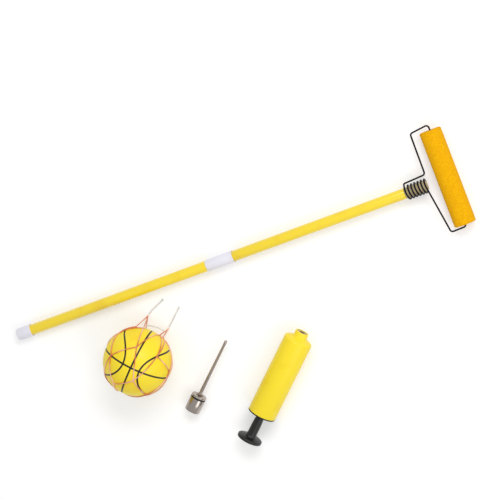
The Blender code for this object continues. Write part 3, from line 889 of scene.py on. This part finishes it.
# %% Drawstring and its two tails
STRING_RADIUS = 0.0009
STRING_STEP = 0.0015
BRIDGE = [(0.0095, 0.0530, 0.0365), (0.0208, 0.0482, 0.0245), (0.0310, 0.0420, 0.0170)]
TAIL_LEFT = [(0.0032, 0.0620, 0.0014), (0.0088, 0.0695, 0.0013), (0.0250, 0.0854, 0.0013)]
TAIL_RIGHT = [(0.0346, 0.0445, 0.0014), (0.0418, 0.0586, 0.0013), (0.0499, 0.0748, 0.0013)]


def smooth_route(route, spacing):
    ends = [route[0] * 2 - route[1], *route, route[-1] * 2 - route[-2]]
    made = []
    for a, b, c, d in zip(ends, ends[1:], ends[2:], ends[3:]):
        steps = max(1, round((c - b).length / spacing))
        for i in range(steps):
            t = i / steps
            made.append(
                0.5 * (2 * b + (c - a) * t + (2 * a - 5 * b + 4 * c - d) * t**2)
                + 0.5 * (3 * b - a - 3 * c + d) * t**3
            )
    return [*made, route[-1]]


def length_of(points):
    return sum((b - a).length for a, b in zip(points, points[1:]))


def string_piece(name, route, node):
    points = smooth_route([under_ball(point) for point in route], STRING_STEP)
    made = rod_along(name, points, STRING_RADIUS, resolution=4)
    made.data.materials.append(WHITE_CORD)
    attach(made, "ball")
    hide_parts(node)
    return made, points


string_piece("drawstring_run", BRIDGE, "drawstring")
for side, route in (("left", TAIL_LEFT), ("right", TAIL_RIGHT)):
    tail, points = string_piece("tail_" + side, route, "string_" + side)
    end_knot = many_rods(
        "tail_knot_" + side,
        [[points[-1] + spot + Vector((0, 0, 0.0003)) for spot in knot_loop(0.0010)]],
        0.0006,
        resolution=2,
        cyclic=True,
    )
    finish_piece(end_knot, None, WHITE_CORD, "ball", angle=80)
    print("tail", side, round(length_of(points) * 1000, 1), "mm")

# %% [markdown]
# ## The inflating needle
# The needle is turned and plated. Its base has a groove that holds a rubber ring, and the stem
# stands in a small recess. Small flats and lips are what make plated metal read as metal, because
# each one catches its own line of light.

# %% Needle
BASE_RADIUS = 0.0117
BASE_HEIGHT = 0.0265
GROOVE_FROM = 0.0215
GROOVE_TO = 0.0238
NEEDLE_LENGTH = 0.1210
STEM_BASE = 0.0026
STEM_TIP = 0.0020
STEM_FOOT = 0.0120
groove = BASE_RADIUS - 0.0016
base = turned(
    "needle_base_trim",
    [
        (0.0012, 0.0), (BASE_RADIUS - 0.0006, 0.0), (BASE_RADIUS, 0.0006), (BASE_RADIUS, GROOVE_FROM),
        (groove, GROOVE_FROM), (groove, GROOVE_TO), (BASE_RADIUS, GROOVE_TO),
        (BASE_RADIUS, BASE_HEIGHT - 0.0006), (BASE_RADIUS - 0.0006, BASE_HEIGHT),
        (0.0056, BASE_HEIGHT), (0.0052, BASE_HEIGHT - 0.0020), (STEM_BASE + GAP, BASE_HEIGHT - 0.0020),
        (STEM_BASE + GAP, STEM_FOOT - GAP), (0.0012, STEM_FOOT - GAP),
    ],
    bevel=0.0002,
)
finish_piece(base, NEEDLE, NICKEL, "needle", "needle_base")
seal = turned(
    "needle_ring",
    [
        (groove + GAP, GROOVE_FROM + GAP), (BASE_RADIUS - 0.0006, GROOVE_FROM + GAP),
        (BASE_RADIUS - 0.0003, GROOVE_FROM + 0.0008), (BASE_RADIUS - 0.0003, GROOVE_TO - 0.0008),
        (BASE_RADIUS - 0.0006, GROOVE_TO - GAP), (groove + GAP, GROOVE_TO - GAP),
    ],
)
finish_piece(seal, NEEDLE, BLACK_RUBBER, "needle", "needle_seal")
bulb = STEM_TIP + 0.0003
tip_at = NEEDLE_LENGTH
stem_profile = [(0.0, STEM_FOOT), (STEM_BASE, STEM_FOOT), (STEM_BASE, BASE_HEIGHT + 0.0150)]
stem_profile += [(STEM_TIP, tip_at - 0.0090), (bulb, tip_at - 0.0060)]
stem_profile += [
    (bulb * math.cos(math.radians(15 * i)), tip_at - bulb * (1 - math.sin(math.radians(15 * i))))
    for i in range(7)
]
stem = turned("needle_stem", stem_profile, sides=48)
finish_piece(stem, NEEDLE, NICKEL, "needle", "needle_tube", angle=60)

# %% [markdown]
# ## The hand pump
# The barrel is one moulding: a long straight body, a sloping shoulder and a short neck with a
# metal insert. A black guide closes the far end, and the handle is a flared neck with a disc.
# Mouldings have rounded edges, so the profiles here get arcs and chamfers, and the barrel, insert and
# guide a small bevel as well.

# %% Pump
PUMP_RADIUS = 0.0214
PUMP_WALL = 0.0018
NECK_RADIUS = 0.0101
NECK = 0.0090
CHAMBER_TOP = -0.0170
BARREL_END = -0.1386
RIM = 0.0018
INSERT_RADIUS = 0.0078
INSERT_BORE = 0.0039
ROD_RADIUS = 0.0035
HANDLE_FROM = -0.1412
DISC_FROM = -0.1780
DISC_RADIUS = 0.0190
SHOULDER = -0.0122
EDGE = 0.0032
inner = PUMP_RADIUS - PUMP_WALL
neck_bore = INSERT_RADIUS + GAP
barrel_profile = [(neck_bore, -0.0112), (neck_bore, 0.0), (NECK_RADIUS - 0.0006, 0.0)]
barrel_profile += [(NECK_RADIUS, -0.0006), (NECK_RADIUS, -NECK)]
barrel_profile += [
    (
        PUMP_RADIUS - EDGE + EDGE * math.cos(math.radians(75 - 12.5 * i)),
        SHOULDER - EDGE + EDGE * math.sin(math.radians(75 - 12.5 * i)),
    )
    for i in range(7)
]
barrel_profile += [(PUMP_RADIUS, BARREL_END), (inner, BARREL_END), (inner, CHAMBER_TOP)]
barrel_profile += [(0.0025, CHAMBER_TOP + 0.0025), (0.0025, -0.0112)]
barrel = turned("pump_body", barrel_profile, sides=128, bevel=0.0003)
finish_piece(barrel, PUMP, YELLOW_PLASTIC, "pump", "pump_barrel")
insert = turned(
    "pump_insert",
    [
        (INSERT_RADIUS, -0.0092), (INSERT_RADIUS, -0.0008), (INSERT_RADIUS - 0.0004, -0.0004),
        (INSERT_BORE + 0.0005, -0.0004), (INSERT_BORE, -0.0010), (INSERT_BORE, -0.0092),
    ],
    sides=64,
    bevel=0.0001,
)
finish_piece(insert, PUMP, BRASS, "pump", "nozzle_insert")
face = BARREL_END - GAP
guide = ROD_RADIUS + 0.0004
end_cap = turned(
    "pump_guide",
    [
        (inner - GAP, face + 0.0066), (inner - GAP, face), (PUMP_RADIUS, face),
        (PUMP_RADIUS, face - RIM + 0.0004), (PUMP_RADIUS - 0.0004, face - RIM),
        (guide, face - RIM), (guide, face + 0.0010), (0.0165, face + 0.0010), (0.0165, face + 0.0066),
    ],
    bevel=0.0002,
)
finish_piece(end_cap, PUMP, BLACK_PLASTIC, "pump", "pump_end_cap")
disc_to = -PUMP_LENGTH
bottom = DISC_FROM + 0.0060
hub = ROD_RADIUS + GAP
handle_profile = [(0.0, bottom - GAP), (hub, bottom - GAP), (hub, HANDLE_FROM), (0.0043, HANDLE_FROM)]
handle_profile += [(0.0052, HANDLE_FROM - 0.0030), (0.0060, HANDLE_FROM - 0.0055)]
handle_profile += [(0.0066, HANDLE_FROM - 0.0085), (0.0070, HANDLE_FROM - 0.0150)]
handle_profile += [(0.0072, DISC_FROM + 0.0060), (0.0076, DISC_FROM + 0.0028)]
handle_profile += [(0.0090, DISC_FROM), (DISC_RADIUS - 0.0016, DISC_FROM - 0.0012)]
handle_profile += [(DISC_RADIUS - 0.0004, DISC_FROM - 0.0018), (DISC_RADIUS, DISC_FROM - 0.0028)]
handle_profile += [(DISC_RADIUS, disc_to + 0.0015), (DISC_RADIUS - 0.0004, disc_to + 0.0004)]
handle_profile += [(DISC_RADIUS - 0.0015, disc_to)]
handle_profile += [(0.0, disc_to)]
handle = turned("pump_handle_trim", handle_profile)
finish_piece(handle, PUMP, BLACK_PLASTIC, "plunger", "pump_handle", angle=50)
rod_from = -0.0187
rod = turned(
    "pump_rod",
    [
        (0.0, rod_from), (ROD_RADIUS - 0.0003, rod_from), (ROD_RADIUS, rod_from - 0.0003),
        (ROD_RADIUS, bottom), (0.0, bottom),
    ],
    sides=48,
)
finish_piece(rod, PUMP, SPRING_STEEL, "plunger", "piston_rod")

# %% [markdown]
# ## Pieces that stay as measured
# The piston and its ring, the nut and the valve sit inside the barrel, where no one looks, so the
# measured pieces are right as they are. They only need their finishes.

# %% Inner pieces
INNER = {
    "piston": WHITE_PLASTIC,
    "piston_seal": BLACK_RUBBER,
    "piston_nut": BRASS,
    "outlet_valve": BLACK_RUBBER,
}
for name, material in INNER.items():
    for slot in frame["nodes"][name].material_slots:
        slot.material = material
print("kept", ", ".join(INNER))

# %% [markdown]
# ## Floor and light
# Everything lies on a plain white floor that runs out of sight. To the camera, and in reflections,
# the floor and the sky are white. Everything else sees their plain brightness, and the floor keeps
# soft shadows under the pieces. A long soft lamp behind draws the line of light along the pole.

# %% Floor, lamps and sky
bpy.ops.object.select_all(action="DESELECT")
bpy.ops.mesh.primitive_plane_add(size=40, location=(0, 0, -0.0002))
floor = bpy.context.active_object
floor.name = "floor"
FLOOR_GLOW = 0.30
floor_paint, nodes, link, shader = new_finish("floor_paint")
shader.inputs["Base Color"].default_value = (0.80, 0.80, 0.80, 1.0)
shader.inputs["Roughness"].default_value = 0.9
shader.inputs["Specular IOR Level"].default_value = 0.0
shader.inputs["Emission Color"].default_value = (1.0, 1.0, 1.0, 1.0)
path = nodes.new("ShaderNodeLightPath")
seen = nodes.new("ShaderNodeMath")
seen.operation = "MAXIMUM"
link(path.outputs["Is Camera Ray"], seen.inputs[0])
link(path.outputs["Is Glossy Ray"], seen.inputs[1])
also = nodes.new("ShaderNodeMath")
also.operation = "MAXIMUM"
link(seen.outputs["Value"], also.inputs[0])
link(path.outputs["Is Transmission Ray"], also.inputs[1])
glow = nodes.new("ShaderNodeMath")
glow.operation = "MULTIPLY"
glow.inputs[1].default_value = FLOOR_GLOW
link(also.outputs["Value"], glow.inputs[0])
link(glow.outputs["Value"], shader.inputs["Emission Strength"])
floor.data.materials.append(floor_paint)

SKY_LIGHT = 0.62
world = bpy.data.worlds.new("studio")
world.use_nodes = True
bpy.context.scene.world = world
nodes, link = world.node_tree.nodes, world.node_tree.links.new
background = nodes["Background"]
background.inputs["Color"].default_value = (1.0, 1.0, 1.0, 1.0)
path = nodes.new("ShaderNodeLightPath")
seen = nodes.new("ShaderNodeMath")
seen.operation = "MAXIMUM"
link(path.outputs["Is Camera Ray"], seen.inputs[0])
link(path.outputs["Is Transmission Ray"], seen.inputs[1])
level = nodes.new("ShaderNodeMapRange")
level.inputs["To Min"].default_value = SKY_LIGHT
level.inputs["To Max"].default_value = 1.0
link(seen.outputs["Value"], level.inputs["Value"])
link(level.outputs["Result"], background.inputs["Strength"])


def softbox(name, place_at, target, size, size_y, power):
    data = bpy.data.lights.new(name, "AREA")
    data.shape = "RECTANGLE"
    data.size = size
    data.size_y = size_y
    data.energy = power
    made = bpy.data.objects.new(name, data)
    bpy.context.scene.collection.objects.link(made)
    made.location = place_at
    made.rotation_euler = (Vector(target) - Vector(place_at)).to_track_quat("-Z", "Y").to_euler()
    return made


softbox("key", (0.7, 1.5, 1.9), (0, 0, 0), 1.8, 0.8, 24.0)
softbox("fill", (1.4, -0.8, 1.6), (0, 0, 0), 1.2, 1.2, 9.0)
bpy.context.scene.view_settings.view_transform = "Standard"
print("lamps:", len(bpy.data.lights))
